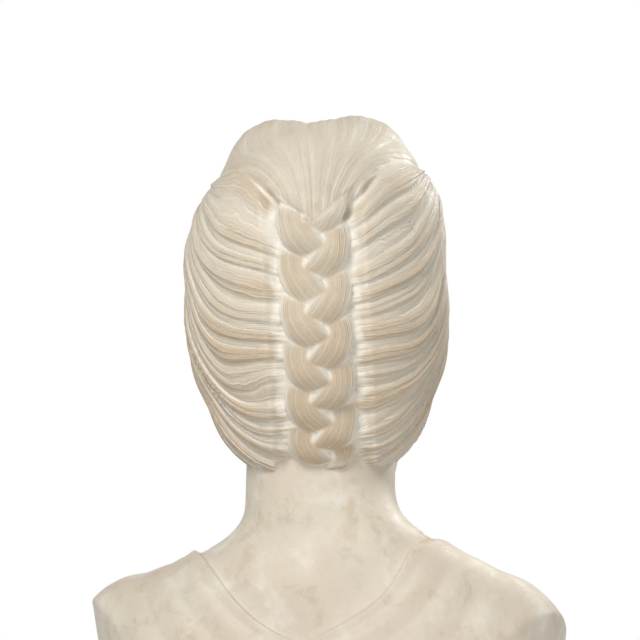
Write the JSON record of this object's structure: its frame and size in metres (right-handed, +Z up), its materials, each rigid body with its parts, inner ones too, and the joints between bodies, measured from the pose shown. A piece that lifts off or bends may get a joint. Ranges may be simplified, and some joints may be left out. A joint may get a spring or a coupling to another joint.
{
  "type": "portrait bust on socle",
  "caption": "Life-size carved marble head and shoulders with a plait up the back, on a waisted socle and square plinth.",
  "frame": {"origin": "middle of the felt's underside, on the surface the bust stands on", "axes": "+Z up, -Y the way the chest faces, +X the sitter's left; the head is turned 12 degrees towards +X"},
  "size_m": [0.345, 0.2278, 0.6546],
  "materials": {
    "marble": "aged cream marble with a tan patina, fine matt to satin",
    "stand_marble": "honed grey-white marble",
    "lime_mortar": "matt, sandy",
    "steel": "zinc-plated",
    "setting_resin": "matt, filled with stone dust",
    "green_felt": "pressed wool felt"
  },
  "bodies": {
    "root": {"bust": "marble", "socle": "stand_marble", "plinth": "stand_marble", "socle_mortar": "lime_mortar", "plinth_mortar": "lime_mortar", "threaded_rod": "steel", "washer": "steel", "nut": "steel", "rod_setting": "setting_resin", "base_felt": "green_felt"}
  },
  "joints": []
}
